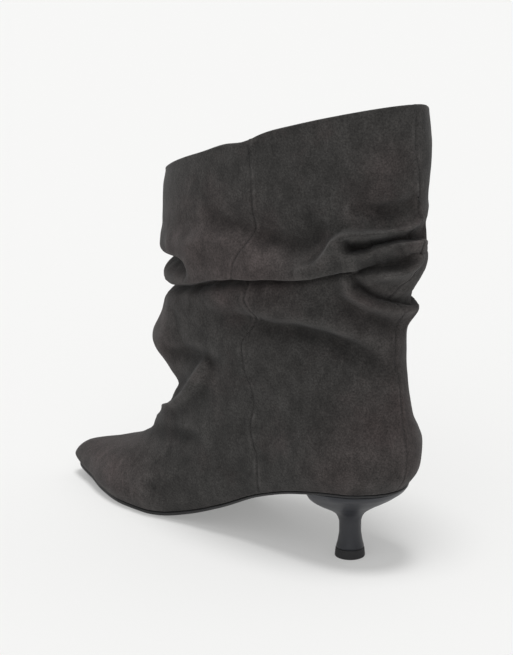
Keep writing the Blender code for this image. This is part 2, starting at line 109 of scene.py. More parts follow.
# Folds: depth, half width above and half width below as shares of the fold size, sag as a share of the
# depth, how softly the ends fade, then the path as pairs of turn from the front by the inner side and share
# of the shaft's height
FOLDS = (
    ("main crease", -0.80, 0.28, 0.36, 0.0, 0.7,
     ((0.600, 0.672), (0.680, 0.640), (0.770, 0.595), (0.880, 0.548), (0.000, 0.526), (0.081, 0.530),
      (0.131, 0.544), (0.211, 0.582), (0.278, 0.611), (0.339, 0.641), (0.386, 0.664), (0.430, 0.672))),
    ("main roll", 0.50, 1.10, 0.50, 1.00, 0.6,
     ((0.020, 0.552), (0.081, 0.556), (0.128, 0.567), (0.211, 0.608), (0.278, 0.638), (0.339, 0.663),
      (0.386, 0.686), (0.416, 0.697))),
    ("far roll", 0.50, 1.20, 0.55, 0.90, 0.8,
     ((0.600, 0.698), (0.680, 0.665), (0.770, 0.622), (0.870, 0.572), (0.960, 0.555))),
    ("front crease", -0.90, 0.30, 0.34, 0.0, 0.8,
     ((0.860, 0.610), (0.940, 0.594), (0.020, 0.586), (0.081, 0.589), (0.114, 0.598), (0.144, 0.606),
      (0.168, 0.609), (0.180, 0.597))),
    ("front shoulder", 0.30, 0.90, 0.50, 0.50, 0.8,
     ((0.880, 0.632), (0.960, 0.618), (0.040, 0.612), (0.110, 0.622), (0.170, 0.645))),
    ("upper ridge low", 0.45, 0.50, 0.80, 0.20, 0.6,
     ((0.120, 0.630), (0.175, 0.652), (0.211, 0.681), (0.267, 0.690), (0.315, 0.680), (0.350, 0.680))),
    ("upper ridge rise", 0.90, 0.24, 0.48, -0.30, 0.5,
     ((0.335, 0.672), (0.356, 0.686), (0.366, 0.706), (0.374, 0.725), (0.383, 0.737), (0.394, 0.742),
      (0.408, 0.743), (0.426, 0.744), (0.446, 0.746), (0.463, 0.751), (0.483, 0.760), (0.512, 0.774))),
    ("upper trough", -0.50, 0.80, 0.55, 0.0, 0.6,
     ((0.200, 0.728), (0.260, 0.722), (0.317, 0.708), (0.338, 0.712), (0.352, 0.738), (0.360, 0.765))),
    ("tube trough", -0.65, 0.60, 0.50, 0.0, 0.6,
     ((0.385, 0.792), (0.415, 0.788), (0.439, 0.789), (0.465, 0.796), (0.490, 0.815))),
    ("pocket one", -0.90, 0.62, 0.18, 0.0, 0.38,
     ((0.383, 0.733), (0.388, 0.718), (0.397, 0.711), (0.410, 0.711), (0.430, 0.719), (0.461, 0.727),
      (0.514, 0.725), (0.552, 0.716))),
    ("heel roll", 0.55, 0.20, 0.45, -0.65, 0.50,
     ((0.370, 0.728), (0.379, 0.710), (0.390, 0.701), (0.408, 0.700), (0.430, 0.708), (0.461, 0.716),
      (0.505, 0.716), (0.530, 0.710))),
    ("pocket two", -0.55, 0.85, 0.18, 0.0, 0.45,
     ((0.398, 0.664), (0.412, 0.669), (0.431, 0.669), (0.453, 0.672), (0.468, 0.678), (0.479, 0.689),
      (0.481, 0.700))),
    ("pocket rim", 0.62, 0.20, 0.45, -0.60, 0.55,
     ((0.392, 0.646), (0.419, 0.656), (0.442, 0.657), (0.464, 0.661), (0.482, 0.670), (0.492, 0.682),
      (0.494, 0.696))),
    ("back column", 0.22, 0.80, 0.80, 0.0, 0.6,
     ((0.546, 0.690), (0.542, 0.660), (0.538, 0.635), (0.534, 0.605))),
    ("pocket three", -0.62, 0.65, 0.18, 0.0, 0.5,
     ((0.388, 0.654), (0.400, 0.634), (0.412, 0.618), (0.432, 0.604), (0.464, 0.589), (0.506, 0.573),
      (0.560, 0.560))),
    ("back ridge", 0.70, 0.20, 0.60, -0.55, 0.65,
     ((0.378, 0.666), (0.388, 0.645), (0.402, 0.624), (0.430, 0.601), (0.464, 0.585), (0.506, 0.568),
      (0.560, 0.552), (0.640, 0.565), (0.700, 0.590))),
    ("back trough", -0.50, 0.45, 0.70, 0.0, 0.6,
     ((0.375, 0.612), (0.400, 0.590), (0.420, 0.575), (0.445, 0.560), (0.480, 0.545), (0.530, 0.535))),
    ("slant ridge", 0.38, 0.70, 0.70, 0.0, 0.8,
     ((0.250, 0.560), (0.310, 0.556), (0.370, 0.548), (0.420, 0.528), (0.480, 0.490))),
    ("long trough", -0.62, 0.55, 0.85, 0.0, 0.8,
     ((0.190, 0.508), (0.225, 0.512), (0.265, 0.522), (0.300, 0.514), (0.340, 0.517), (0.385, 0.507),
      (0.420, 0.492), (0.460, 0.456), (0.490, 0.430))),
    ("far trough", -0.40, 0.80, 1.20, 0.0, 0.8,
     ((0.600, 0.530), (0.680, 0.560), (0.760, 0.525), (0.840, 0.500))),
    ("ankle trough", -0.42, 0.50, 0.70, 0.0, 0.8,
     ((0.100, 0.384), (0.130, 0.388), (0.165, 0.398), (0.195, 0.405), (0.240, 0.408))),
    ("instep ridge", 0.65, 0.36, 0.60, 0.0, 0.5,
     ((0.205, 0.400), (0.195, 0.382), (0.182, 0.350), (0.153, 0.306), (0.110, 0.262), (0.072, 0.232),
      (0.020, 0.214))),
    ("instep facet", -0.48, 0.70, 0.60, 0.0, 0.8,
     ((0.900, 0.312), (0.980, 0.292), (0.040, 0.288), (0.085, 0.293), (0.130, 0.316), (0.160, 0.345))),
    ("belly fold", 1.00, 1.25, 1.35, 0.10, 0.8,
     ((0.830, 0.480), (0.930, 0.412), (0.000, 0.392), (0.075, 0.398), (0.150, 0.438))),
    ("vamp fold", 0.52, 1.90, 0.55, 0.0, 0.8,
     ((0.880, 0.244), (0.940, 0.212), (0.000, 0.195), (0.050, 0.193), (0.090, 0.210), (0.125, 0.244))),
    ("vamp crease", -0.25, 0.40, 0.60, 0.0, 0.8,
     ((0.110, 0.180), (0.150, 0.200), (0.190, 0.215), (0.220, 0.225))),
)

# The collar's wave: turn, reach in turns and drop as a share of the shaft's height
COLLAR_WAVE = (
    (0.205, 0.040, 0.0037),
    (0.262, 0.020, 0.0089),
    (0.420, 0.110, -0.0080),
    (0.620, 0.065, 0.0270),
)

# Warm brushed patches: place ahead, sideways and up, and reach, as shares of the shaft's height,
# then the amount
WARM_PATCHES = (
    (-0.351, -0.166, 0.657, 0.111, 0.55),
    (-0.185, -0.185, 0.649, 0.111, 0.60),
    (-0.074, -0.166, 0.642, 0.074, 0.40),
    (-0.517, -0.055, 0.498, 0.103, 0.55),
    (-0.480, -0.092, 0.369, 0.092, 0.35),
    (-0.701, -0.055, 0.092, 0.111, 0.55),
    (-0.554, -0.111, 0.092, 0.092, 0.40),
    (0.111, -0.074, 0.314, 0.081, 0.40),
    (0.055, -0.111, 0.203, 0.074, 0.45),
    (0.148, -0.055, 0.886, 0.052, 0.45),
    (0.111, -0.092, 0.590, 0.052, 0.45),
    (0.166, 0.037, 0.240, 0.081, 0.50),
    (0.166, 0.037, 0.369, 0.081, 0.45),
    (0.166, 0.037, 0.517, 0.081, 0.50),
    (0.170, 0.037, 0.720, 0.070, 0.35),
)

# Turns of the columns that the seams follow
SIDE_PLACE = 0.27
BACK_PLACE = 0.497
FAR_PLACE = 0.73

# The side seam's wander: share of the shaft's height, turn from the front
SIDE_SEAM = (
    (0.000, 0.312),
    (0.140, 0.308),
    (0.175, 0.305),
    (0.210, 0.296),
    (0.300, 0.275),
    (0.380, 0.267),
    (0.425, 0.261),
    (0.467, 0.262),
    (0.508, 0.277),
    (0.535, 0.280),
    (0.571, 0.269),
    (0.600, 0.262),
    (0.625, 0.247),
    (0.660, 0.250),
    (0.700, 0.266),
    (0.747, 0.272),
    (0.810, 0.269),
    (0.903, 0.265),
    (1.000, 0.264),
)

# The back seam's wander, told the same way
BACK_SEAM = (
    (0.000, 0.497),
    (0.250, 0.494),
    (0.300, 0.490),
    (0.360, 0.497),
    (0.430, 0.500),
    (0.465, 0.494),
    (0.507, 0.497),
    (0.545, 0.505),
    (0.600, 0.475),
    (0.625, 0.482),
    (0.650, 0.506),
    (0.750, 0.509),
    (0.810, 0.508),
    (0.875, 0.497),
    (0.920, 0.486),
    (1.000, 0.494),
)

# Heel rings from the foot up: height as a share of the seat over it, then centre, half length
# and half width as shares of the stem's width, and how square the breast side is
HEEL_RINGS = (
    ("foot", 0.140, 0.00, 0.650, 0.650, 2.0),
    ("flare", 0.230, 0.00, 0.572, 0.572, 2.0),
    ("waist", 0.370, 0.00, 0.510, 0.510, 2.0),
    ("neck", 0.480, 0.00, 0.512, 0.512, 2.0),
    ("throat", 0.545, 0.00, 0.570, 0.570, 2.0),
    ("cup foot", 0.600, 0.02, 0.680, 0.680, 2.0),
    ("cup start", 0.660, 0.06, 0.920, 0.920, 2.1),
    ("cup low", 0.720, 0.08, 1.260, 1.260, 2.3),
    ("cup", 0.790, 0.19, 1.620, 1.620, 2.6),
    ("cup side", 0.870, 0.37, 1.920, 1.920, 3.0),
    ("cup edge", 0.940, 0.59, 2.040, 2.160, 3.4),
    ("seat", 1.000, 0.66, 2.130, 2.260, 3.6),
)

# Top piece: height and reach as shares of its thickness and radius
LIFT_RINGS = ((0.00, 0.930), (0.04, 0.975), (0.12, 0.998), (0.50, 0.975), (0.92, 0.950), (1.00, 0.930))

# Rounded edges of the outsole and the insole: metres inwards, and the level in the piece's thickness
SOLE_EDGE = ((0.0016, 0.0), (0.0007, 0.02), (0.0001, 0.20), (0.0, 0.50), (0.0001, 0.80), (0.0006, 0.98),
             (0.0014, 1.0))
INSOLE_EDGE = ((0.0004, 0.0), (0.0, 0.35), (0.0, 0.75), (0.0008, 1.0), (0.0030, 1.06))

# Divisions of the small pieces
SOLE_AROUND = 240
INSOLE_AROUND = 160
HEEL_AROUND = 96
HEEL_ROWS = 60

# Rows of suede turned in at the collar, rows between two rings of the lining, and where the lining ends
TURNED_ROWS = 13
LINING_STEP = 3
LINING_END = 8

# Ripples of the suede in metres: depth all over, added depth where the shaft slouches, and two cells
RIPPLE = 0.00022
SLOUCH_RIPPLE = 0.00065
RIPPLE_CELL = 0.017
SMALL_CELL = 0.008

# Levels where the shaft slouches, where the collar's wave starts, and how far a seam draws the suede along
SLOUCH_FROM = 0.42
SLOUCH_TO = 0.86
SLOUCH_FADE = 0.10
WAVE_START = 0.86
SEAM_PULL = 0.07

# Broad unevenness of the suede, and the puckers along the seams, in metres
WAVE = 0.0007
WAVE_CELL = 0.045
PUCKER_CELL = 0.0042

# Seams in metres: groove, welts beside it, the lines that they show in the suede's tone, how high an edge
# has to be to show as full painted highlight (a hollow as deep shows as full painted shade), and how far
# the stitches stand out
GROOVE_DEPTH = 0.00022
GROOVE_WIDTH = 0.0007
WELT_HEIGHT = 0.00030
WELT_PLACE = 0.0022
WELT_WIDTH = 0.0014
DARK_WIDTH = 0.0006
LIGHT_PLACE = 0.0019
LIGHT_WIDTH = 0.0012
PAINTED_SHADE_EDGE_HEIGHT = 0.0006
STITCH_LIFT = 0.0001

# Lights: spread in degrees and direction
LIGHTS = (
    ("top_light", 20, (-0.10, 0.10, -1.0)),
    ("front_light", 60, (-0.6, 0.75, -0.7)),
)

# Camera: degrees round the boot and over the floor, and the point it looks at
CAMERA_AZIMUTH = 45.0
CAMERA_ELEVATION = 16.3
CAMERA_AIM = (-0.0765, 0.0, 0.1215)


def metres(name, description, default):
    """A size in metres that the user may change."""
    return FloatProperty(name=name, description=description, default=default, unit="LENGTH")


def tint(name, description, default):
    """A colour that the user may change."""
    return FloatVectorProperty(name=name, description=description, default=default, subtype="COLOR", size=3)


class BootShape(bpy.types.PropertyGroup):
    """Sizes of the boot."""
    foot_length: metres("Foot length", "Sole from heel to toe", 0.256)
    ball_width: metres("Ball width", "Width over the ball", 0.0705)
    heel_seat: metres("Heel seat", "Floor to the seat", 0.0485)
    heel_back: metres("Heel back", "Back of the seat from the heel's axis", 0.0365)
    toe_spring: metres("Toe spring", "Lift of the toe tip", 0.006)
    toe_swing: metres("Toe swing", "Inward curve of the toe", 0.012)
    sole_thick: metres("Sole thickness", "Outsole at the ball", 0.0024)
    instep: metres("Instep", "Rise of the foot rings", 0.070)
    shaft_depth: metres("Shaft depth", "Front to back", 0.190)
    shaft_width: metres("Shaft width", "Side to side", 0.090)
    shaft_height: metres("Shaft height", "Floor to the back of the collar", 0.271)
    shaft_centre: metres("Shaft centre", "From the heel's axis", -0.0485)
    fold: metres("Fold size", "Depth of a full fold", 0.010)
    wall: metres("Wall", "Suede and lining together", 0.002)
    gap: metres("Gap", "Room between the pieces", 0.0003)
    heel_thin: FloatProperty(name="Thin heel end", description="Outsole at the heel, share of the ball's",
                             default=0.70)
    insole_room: metres("Insole room", "Insole's edge from the upper", 0.0012)
    insole_toe: metres("Insole toe room", "Insole's tip from the sole's", 0.010)
    insole_thick: metres("Insole thickness", "Covered board", 0.002)
    stem: metres("Stem", "Width of the heel's waist", 0.0125)
    seat_step: metres("Seat step", "Heel's edge inside the sole's", 0.0010)
    lift_height: metres("Top piece height", "Rubber under the heel", 0.0055)
    lift_radius: metres("Top piece radius", "Rubber under the heel", 0.0088)
    around: IntProperty(name="Around", description="Divisions round the upper", default=320)
    rows: IntProperty(name="Rows", description="Divisions up the upper", default=260)


class BootFinish(bpy.types.PropertyGroup):
    """Colours and surfaces."""
    suede: tint("Suede", "Main colour of the suede", (0.0360, 0.0345, 0.0332))
    rust: tint("Warm patches", "Brushed brownish patches", (0.0520, 0.0410, 0.0400))
    lining: tint("Lining", "Lining leather", (0.110, 0.098, 0.088))
    lacquer: tint("Heel lacquer", "Heel colour", (0.0175, 0.0188, 0.0240))
    sole: tint("Sole", "Sole leather", (0.0085, 0.0082, 0.0090))
    rubber: tint("Rubber", "Top piece", (0.019, 0.019, 0.020))
    thread: tint("Thread", "Stitches", (0.040, 0.037, 0.036))


class BootStitches(bpy.types.PropertyGroup):
    """Stitches along the seams."""
    pitch: metres("Pitch", "Distance between stitches", 0.0026)
    length: metres("Length", "Length of one stitch", 0.0018)
    thickness: metres("Thread", "Thread thickness", 0.00026)


class BootStage(bpy.types.PropertyGroup):
    """Floor, light and camera."""
    floor_size: metres("Floor", "Side of the floor", 14.0)
    top_light: FloatProperty(name="Top light", description="Strength of the overhead light", default=1.75)
    front_light: FloatProperty(name="Front light", description="Strength of the light by the camera",
                               default=0.50)
    sky: FloatProperty(name="Sky", description="Strength of the even light", default=0.45)
    distance: metres("Distance", "Camera from the boot", 1.640)
    lens: FloatProperty(name="Lens", description="Focal length in millimetres", default=153.9)


def smooth_curve(xs, ys, x):
    """Cubic through the rows that never runs past them."""
    xs = np.asarray(xs, float)
    ys = np.asarray(ys, float)
    step = np.diff(xs)
    slope = np.diff(ys) / step
    tangent = np.zeros_like(ys)
    same = slope[:-1] * slope[1:] > 0
    one = 2 * step[1:] + step[:-1]
    two = step[1:] + 2 * step[:-1]
    inner = np.zeros(len(same))
    inner[same] = (one + two)[same] / (one[same] / slope[:-1][same] + two[same] / slope[1:][same])
    tangent[1:-1] = inner
    tangent[0] = slope[0]
    tangent[-1] = slope[-1]
    x = np.clip(x, xs[0], xs[-1])
    i = np.clip(np.searchsorted(xs, x, side="right") - 1, 0, len(step) - 1)
    t = (x - xs[i]) / step[i]
    ends = ys[i] * (2 * t**3 - 3 * t**2 + 1) + ys[i + 1] * (3 * t**2 - 2 * t**3)
    return ends + step[i] * (tangent[i] * (t**3 - 2 * t**2 + t) + tangent[i + 1] * (t**3 - t**2))


def side_width(shape, angle, column):
    """Outline's half width over the sine of its angle, smooth through both ends."""
    share = np.array([row[0] for row in OUTLINE[1:-1]])
    width = np.array([row[column] for row in OUTLINE[1:-1]]) * shape.ball_width
    at = np.arccos(2 * share - 1)
    ratio = width / np.sin(at)
    order = np.argsort(at)
    at = at[order]
    ratio = ratio[order]
    at = np.concatenate([[-at[0]], at, [2 * np.pi - at[-1]]])
    ratio = np.concatenate([[ratio[0]], ratio, [ratio[-1]]])
    return smooth_curve(at, ratio, angle)


def sole_height(shape, share):
    """Height of the sole's top edge over the floor."""
    at = np.array([row[0] for row in PROFILE])
    height = np.array([row[1] for row in PROFILE]) * (shape.heel_seat - shape.sole_thick)
    rise = smooth_curve(at, height, np.minimum(share, at[-1]))
    toe = np.clip((share - at[-1]) / (1 - at[-1]), 0, 1)
    return shape.sole_thick + rise + shape.toe_spring * toe**1.8


def swing(shape, share):
    """Inward curve of the forefoot."""
    return -shape.toe_swing * np.clip((share - 0.45) / 0.55, 0, 1) ** 1.6


def three_heights(front, side, back, angle):
    """Height around a ring from its front, side and back."""
    return ((front + back) / 4 + side / 2 + (front - back) / 2 * np.cos(angle)
            + ((front + back) / 4 - side / 2) * np.cos(2 * angle))


def foot_ring(shape, row, angle):
    """Points of one ring of the foot."""
    toe, heel, bulge, follow, front, side, back, oval = row[2:]
    front_x = shape.heel_back - toe * shape.foot_length
    back_x = shape.heel_back + heel * shape.foot_length
    x = (front_x + back_x) / 2 - (back_x - front_x) / 2 * np.cos(angle)
    over = np.clip((shape.heel_back - x) / shape.foot_length, 0, 1)
    outline = np.arccos(2 * over - 1)
    sole = np.where(np.sin(angle) >= 0, side_width(shape, outline, 1), side_width(shape, outline, 2))
    half = (sole + bulge * shape.ball_width) * (1 - oval) + 0.42 * shape.shaft_width * oval
    y = -np.sin(angle) * half + swing(shape, over) * (1 - oval)
    z = sole_height(shape, over) * follow + three_heights(front, side, back, angle) * shape.instep
    return np.stack([x, y, z], -1)


def shaft_ring(shape, row, angle):
    """Points of one ring of the shaft."""
    ahead, behind, width, front, side, back = row[2:]
    front_x = shape.shaft_centre - ahead * shape.shaft_depth / 2
    back_x = shape.shaft_centre + behind * shape.shaft_depth / 2
    x = (front_x + back_x) / 2 - (back_x - front_x) / 2 * np.cos(angle)
    y = -np.sin(angle) * width * shape.shaft_width / 2
    z = three_heights(front, side, back, angle) * shape.shaft_height
    return np.stack([x, y, z], -1)


def base_surface(shape, angle, levels):
    """Smooth upper before its folds. angle has a row for each level."""
    known = np.array([row[1] for row in FOOT_RINGS + SHAFT_RINGS])
    k = np.clip(np.searchsorted(known, levels, side="right") - 1, 0, len(known) - 2)
    grid = np.empty(angle.shape + (3,))
    for i in range(len(known) - 1):
        rows = k == i
        if not rows.any():
            continue
        near = range(max(i - 1, 0), min(i + 3, len(known)))
        rings = {}
        for j in near:
            if j < len(FOOT_RINGS):
                rings[j] = foot_ring(shape, FOOT_RINGS[j], angle[rows])
            else:
                rings[j] = shaft_ring(shape, SHAFT_RINGS[j - len(FOOT_RINGS)], angle[rows])
        slope = {j: (rings[j + 1] - rings[j]) / (known[j + 1] - known[j]) for j in near if j + 1 in rings}
        step = known[i + 1] - known[i]
        start = slope[i]
        if i - 1 in slope:
            before = known[i] - known[i - 1]
            start = (slope[i - 1] * step + slope[i] * before) / (step + before)
        end = slope[i]
        if i + 1 in slope:
            after = known[i + 2] - known[i + 1]
            end = (slope[i] * after + slope[i + 1] * step) / (step + after)
        t = ((levels[rows] - known[i]) / step)[:, None, None]
        grid[rows] = (rings[i] * (2 * t**3 - 3 * t**2 + 1) + rings[i + 1] * (3 * t**2 - 2 * t**3)
                      + step * (start * (t**3 - 2 * t**2 + t) + end * (t**3 - t**2)))
    return grid


def surface_normals(grid):
    """Outward unit normals of a grid that closes around."""
    around = np.roll(grid, -1, 1) - np.roll(grid, 1, 1)
    normal = np.cross(around, np.gradient(grid, axis=0))
    return normal / (np.linalg.norm(normal, axis=2, keepdims=True) + 1e-12)


def surface_point(grid, turns, turn, height):
    """Point of the grid at a turn and a height over the floor."""
    count = grid.shape[1]
    order = np.argsort(turns)
    at = np.interp(turn, np.concatenate([turns[order] - 1, turns[order], turns[order] + 1]),
                   np.concatenate([order - count, order, order + count]).astype(float))
    left = int(math.floor(at))
    mix = at - left
    column = grid[:, left % count] * (1 - mix) + grid[:, (left + 1) % count] * mix
    return [np.interp(height, column[:, 2], column[:, axis]) for axis in range(3)]


def path_points(shape, path, grid, turns, count):
    """Points on the smooth upper along a fold's path."""
    wrap = np.array([p[0] for p in path])
    step = np.diff(wrap)
    wrap = wrap + np.concatenate([[0], np.cumsum((step < -0.5) * 1.0 - (step > 0.5) * 1.0)])
    heights = np.array([p[1] for p in path]) * shape.shaft_height
    knots = np.linspace(0, 1, len(path))
    along = np.linspace(0, 1, count)
    turn = smooth_curve(knots, wrap, along)
    height = smooth_curve(knots, heights, along)
    return np.array([surface_point(grid, turns, turn[k] % 1, height[k]) for k in range(count)])


def apply_folds(shape, grid, turns):
    """Push the smooth upper out and down along each fold, and keep how far each point went."""
    normal = surface_normals(grid)
    out = np.zeros(grid.shape[:2])
    drop = np.zeros(grid.shape[:2])
    flat = grid.reshape(-1, 3)
    flat_normal = normal.reshape(-1, 3)
    square = np.sum(flat**2, axis=1)
    coarse = grid[:, :: max(1, grid.shape[1] // 160)]
    coarse_turns = turns[:: max(1, grid.shape[1] // 160)]
    for name, depth, above, below, sag, ends, path in FOLDS:
        line = path_points(shape, path, coarse, coarse_turns, 14 * len(path))
        run = np.gradient(line, axis=0)
        length = np.linalg.norm(run, axis=1, keepdims=True)
        run = run / length
        gap = square[:, None] + np.sum(line**2, axis=1)[None, :] - 2 * flat @ line.T
        near = gap.argmin(1)
        offset = flat - line[near]
        along = np.sum(offset * run[near], axis=1)
        rise = np.cross(flat_normal, run[near])
        side = np.sum(offset * rise, axis=1) * np.sign(rise[:, 2] + 1e-9)
        inside = (near > 0) & (near < len(line) - 1)
        distance = np.sum(offset**2, axis=1) - np.where(inside, along**2, 0)
        width = np.where(side > 0, above, below)
        width = np.where(inside, width, (above + below) / 2) * shape.fold
        share = np.clip((near + along / length[near, 0]) / (len(line) - 1), 0, 1)
        taper = np.sin(np.pi * share) ** ends
        push = (np.exp(-np.maximum(distance, 0) / width**2) * taper).reshape(grid.shape[:2])
        out += depth * shape.fold * push
        drop += abs(depth) * sag * shape.fold * push
    moved = grid + normal * out[..., None]
    moved[..., 2] -= drop
    return moved, out / shape.fold


def value_noise(points, size, seed):
    """Smooth noise between -1 and 1 on a grid of the given cell size."""
    rng = np.random.default_rng(seed)
    table = rng.random((32, 32, 32)) * 2 - 1
    at = points / size
    cell = np.floor(at).astype(int)
    t = at - cell
    t = t * t * (3 - 2 * t)
    total = np.zeros(points.shape[:-1])
    for corner in range(8):
        shift = np.array([corner & 1, corner >> 1 & 1, corner >> 2 & 1])
        weight = np.prod(np.where(shift, t, 1 - t), axis=-1)
        i = (cell + shift) % 32
        total += weight * table[i[..., 0], i[..., 1], i[..., 2]]
    return total


def seam_turns(table, heights, shape):
    """Turn of a seam at each height."""
    at = np.array([row[0] for row in table]) * shape.shaft_height
    return smooth_curve(at, [row[1] for row in table], heights)


def column_turns(count):
    """Turns of the upper's columns, closer together at the seams and the pockets."""
    fine = np.linspace(0, 1, 2001)
    weight = np.ones_like(fine)
    for place, extra, reach in ((SIDE_PLACE, 3.0, 0.012), (BACK_PLACE, 2.0, 0.012), (FAR_PLACE, 2.0, 0.012),
                                (0.42, 1.0, 0.10)):
        weight += extra * np.exp(-((fine - place) / reach) ** 2)
    total = np.concatenate([[0], np.cumsum((weight[1:] + weight[:-1]) / 2)])
    return np.interp(np.arange(count) / count * total[-1], total, fine)


def row_levels(count):
    """Levels of the upper's rows, close together where it folds."""
    fine = np.linspace(0, 1, 2001)
    weight = 1.0 + 1.6 / (1 + np.exp(-(fine - 0.50) / 0.02)) / (1 + np.exp((fine - 0.83) / 0.02))
    total = np.concatenate([[0], np.cumsum((weight[1:] + weight[:-1]) / 2)])
    return np.interp(np.linspace(0, total[-1], count), total, fine)


def add_object(name, points, faces, material):
    """A smooth mesh object at the origin."""
    mesh = bpy.data.meshes.new(name)
    mesh.from_pydata(np.asarray(points).tolist(), [], faces)
    mesh.polygons.foreach_set("use_smooth", [True] * len(mesh.polygons))
    mesh.materials.append(material)
    item = bpy.data.objects.new(name, mesh)
    bpy.context.scene.collection.objects.link(item)
    return item


def keep_attribute(item, name, values):
    """Store one number per vertex for the materials to read."""
    layer = item.data.attributes.new(name, "FLOAT", "POINT")
    layer.data.foreach_set("value", np.asarray(values, np.float32).ravel())


def ring_faces(lower, upper, count):
    """Quads between two rings of the same count."""
    return [(lower + i, lower + (i + 1) % count, upper + (i + 1) % count, upper + i) for i in range(count)]


def ladder_faces(start, count):
    """Faces across a ring whose two sides share their stations."""
    faces = [(start, start + 1, start + count - 1)]
    for i in range(1, count // 2 - 1):
        faces.append((start + i, start + i + 1, start + count - i - 1, start + count - i))
    half = count // 2
    faces.append((start + half - 1, start + half, start + half + 1))
    return faces


def add_body(name, rings, material):
    """A closed body from rings of one count, bottom to top, with its faces outwards."""
    count = len(rings[0])
    faces = []
    for k in range(len(rings) - 1):
        faces += ring_faces(k * count, (k + 1) * count, count)
    last = (len(rings) - 1) * count
    faces += ladder_faces(0, count) + [face[::-1] for face in ladder_faces(last, count)]
    item = add_object(name, np.concatenate(rings), faces, material)
    work = bmesh.new()
    work.from_mesh(item.data)
    bmesh.ops.recalc_face_normals(work, faces=work.faces)
    if work.calc_volume(signed=True) < 0:
        bmesh.ops.reverse_faces(work, faces=work.faces)
    work.to_mesh(item.data)
    work.free()
    return item


def new_group(name, inputs):
    """A shader group from a vector, a colour and its own inputs to a colour, a roughness and a height."""
    group = bpy.data.node_groups.new(name, "ShaderNodeTree")
    own = (("Vector", "Vector", None), ("Colour", "Color", (0.1, 0.1, 0.1, 1))) + inputs
    for label, kind, default in own:
        made = group.interface.new_socket(name=label, in_out="INPUT", socket_type="NodeSocket" + kind)
        if default is not None:
            made.default_value = default
    for label, kind in (("Colour", "Color"), ("Roughness", "Float"), ("Height", "Float")):
        group.interface.new_socket(name=label, in_out="OUTPUT", socket_type="NodeSocket" + kind)
    return group, group.nodes.new("NodeGroupInput").outputs, group.nodes.new("NodeGroupOutput").inputs


def fill(tree, slot, value):
    """Give a socket a number, or link another socket to it."""
    if isinstance(value, (int, float)):
        slot.default_value = value
    else:
        tree.links.new(value, slot)


def link_math(tree, operation, first, second):
    """A Math node between two sockets or numbers."""
    node = tree.nodes.new("ShaderNodeMath")
    node.operation = operation
    for slot, value in zip(node.inputs, (first, second)):
        fill(tree, slot, value)
    return node.outputs[0]


def link_noise(tree, vector, scale, detail=3.0, rough=0.55, stretch=None):
    """A Noise node on the given coordinates."""
    if stretch is not None:
        mapping = tree.nodes.new("ShaderNodeMapping")
        mapping.inputs["Scale"].default_value = stretch
        tree.links.new(vector, mapping.inputs["Vector"])
        vector = mapping.outputs[0]
    node = tree.nodes.new("ShaderNodeTexNoise")
    for name, value in (("Vector", vector), ("Scale", scale), ("Detail", detail), ("Roughness", rough)):
        fill(tree, node.inputs[name], value)
    return node.outputs["Fac"]


def link_range(tree, value, low, high, to_low, to_high):
    """A Map Range node, clamped."""
    node = tree.nodes.new("ShaderNodeMapRange")
    for name, given in (("Value", value), ("From Min", low), ("From Max", high), ("To Min", to_low),
                        ("To Max", to_high)):
        fill(tree, node.inputs[name], given)
    return node.outputs[0]


def link_mix(tree, share, first, second, blend="MIX"):
    """A colour Mix node."""
    node = tree.nodes.new("ShaderNodeMix")
    node.data_type = "RGBA"
    node.blend_type = blend
    for name, value in (("Factor", share), ("A", first), ("B", second)):
        fill(tree, node.inputs[name], value)
    return next(out for out in node.outputs if out.type == "RGBA")


def link_tone(tree, colour, tone):
    """A colour times a number."""
    grey = tree.nodes.new("ShaderNodeCombineColor")
    for slot in grey.inputs[:3]:
        tree.links.new(tone, slot)
    return link_mix(tree, 1.0, colour, grey.outputs[0], "MULTIPLY")


def link_sum(tree, first, second):
    """Seven parts of one height and three of another."""
    return link_math(tree, "ADD", link_math(tree, "MULTIPLY", first, 0.7),
                     link_math(tree, "MULTIPLY", second, 0.3))


def nap_group():
    """Brushed nap: colour with patches and fibres, painted shade in the creases and painted highlight on
    the ridges from the Fold input, and a fibre height.
    """
    if "Nap" in bpy.data.node_groups:
        return bpy.data.node_groups["Nap"]
    group, given, result = new_group("Nap", (("Patch", "Color", (0.08, 0.06, 0.06, 1)),
                                             ("Fold", "Float", 0.0), ("Warm", "Float", 0.0)))
    vector = given["Vector"]
    broad = link_noise(group, vector, 26.0, 4.0, 0.6)
    brush = link_noise(group, vector, 85.0, 5.0, 0.68, (1.25, 1.25, 0.9))
    fibre = link_noise(group, vector, 900.0, 3.0, 0.7)
    fine = link_noise(group, vector, 2600.0, 2.0, 0.6)
    clamp = group.nodes.new("ShaderNodeClamp")
    warm = link_math(group, "ADD", link_range(group, broad, 0.52, 0.70, 0.0, 0.35), given["Warm"])
    group.links.new(warm, clamp.inputs[0])
    colour = link_mix(group, clamp.outputs[0], given["Colour"], given["Patch"])
    tone = link_range(group, brush, 0.30, 0.72, 0.62, 1.42)
    grain = link_range(group, fibre, 0.30, 0.70, 0.62, 1.42)
    sparkle = link_range(group, fine, 0.30, 0.72, 0.86, 1.14)
    # Painted shade and highlight: the Fold value darkens the suede down to 0.68 in creases and hollows and
    # lightens it up to 1.38 on ridges, standing in for how light falls on the folds.
    ridge = link_range(group, given["Fold"], -0.9, 0.9, 0.68, 1.38)
    level = link_math(group, "MULTIPLY", link_math(group, "MULTIPLY", tone, grain),
                      link_math(group, "MULTIPLY", sparkle, ridge))
    group.links.new(link_tone(group, colour, level), result["Colour"])
    group.links.new(link_range(group, brush, 0.3, 0.7, 0.84, 1.0), result["Roughness"])
    group.links.new(link_sum(group, fibre, fine), result["Height"])
    return group


